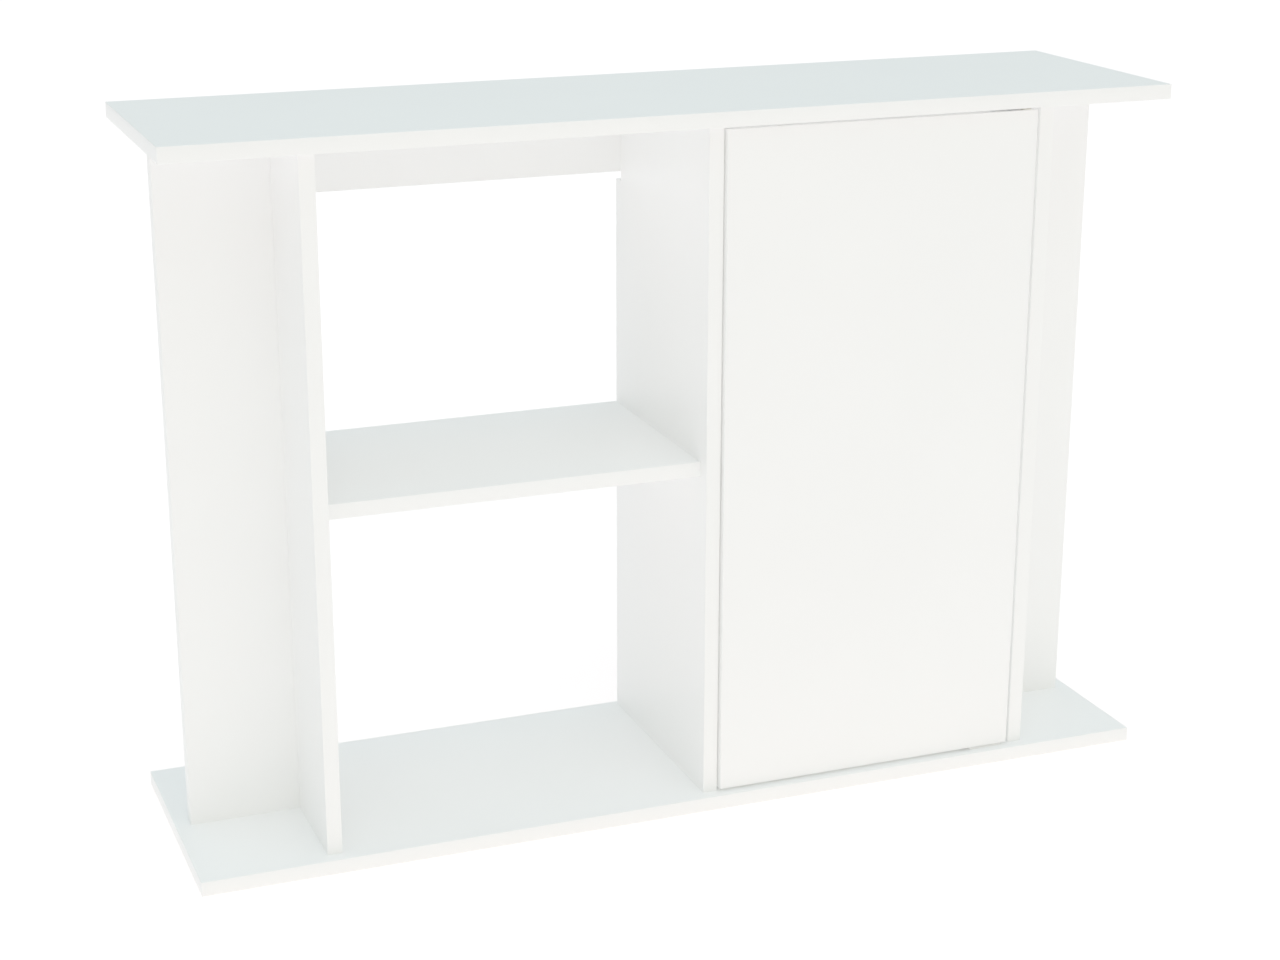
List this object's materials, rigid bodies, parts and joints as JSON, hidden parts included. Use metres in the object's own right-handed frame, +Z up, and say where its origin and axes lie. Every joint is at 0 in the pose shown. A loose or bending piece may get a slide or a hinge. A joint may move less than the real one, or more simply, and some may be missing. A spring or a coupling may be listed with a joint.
{
  "type": "console table",
  "caption": "White melamine console cabinet: a long flat top over an open bay with a shelf and a bay closed by a handleless inset door, with a wing panel at each end.",
  "frame": {"origin": "on the floor at the middle of the footprint", "axes": "+X to the right along the length, the front faces -Y, +Z up"},
  "size_m": [1.21, 0.32, 0.852],
  "materials": {
    "melamine_board": "white melamine-faced chipboard, satin with a fine pearl grain",
    "edging": "white plastic edging strip, satin",
    "zinc_fitting": "bright zinc-plated steel",
    "cam_alloy": "die-cast zinc alloy, matt",
    "white_plastic": "white moulded plastic",
    "beech": "raw beech, fluted dowel",
    "hinge_steel": "nickel-plated steel pin",
    "white_lacquer": "steel plate lacquered white, satin",
    "nylon": "natural nylon",
    "spring_steel": "drawn spring wire",
    "latch_plastic": "light grey acetal",
    "magnet": "dark sintered magnet"
  },
  "bodies": {
    "cabinet": {"top_board": "melamine_board", "bottom_board": "melamine_board", "left_upright": "melamine_board", "middle_upright": "melamine_board", "right_upright": "melamine_board", "left_wing": "melamine_board", "right_wing": "melamine_board", "shelf": "melamine_board", "back_rail": "melamine_board", "top_edging": "edging", "bottom_edging": "edging", "upright_edging": "edging", "wing_edging": "edging", "shelf_edging": "edging", "rail_edging": "edging", "cam_bolts": "zinc_fitting", "cam_locks": "cam_alloy", "cam_caps": "white_plastic", "wooden_dowels": "beech", "rail_screws": "zinc_fitting", "board_hinge_plates": "white_lacquer", "board_plate_screws": "zinc_fitting", "hinge_pins": "hinge_steel", "latch_housing": "white_plastic", "latch_screws": "zinc_fitting", "latch_spring": "spring_steel"},
    "door": {"door_panel": "melamine_board", "door_edging": "edging", "door_hinge_plates": "white_lacquer", "door_plate_screws": "zinc_fitting", "hinge_bushes": "nylon", "strike_plate": "zinc_fitting", "strike_screw": "zinc_fitting"},
    "plunger": {"latch_plunger": "latch_plastic", "latch_magnet": "magnet"}
  },
  "joints": [
    {"name": "door_swing", "type": "hinge", "parent": "cabinet", "child": "door", "pos_m": [0.4185, -0.141, 0.425], "axis": [0, 0, 1], "range_deg": [0, 110]},
    {"name": "latch_slide", "type": "slide", "parent": "cabinet", "child": "plunger", "axis": [0, -1, 0], "range_m": [0, 0.01]}
  ],
  "couplings": [
    {"joint": "latch_slide", "follows": "door_swing", "m_per_rad": 0.0052}
  ]
}
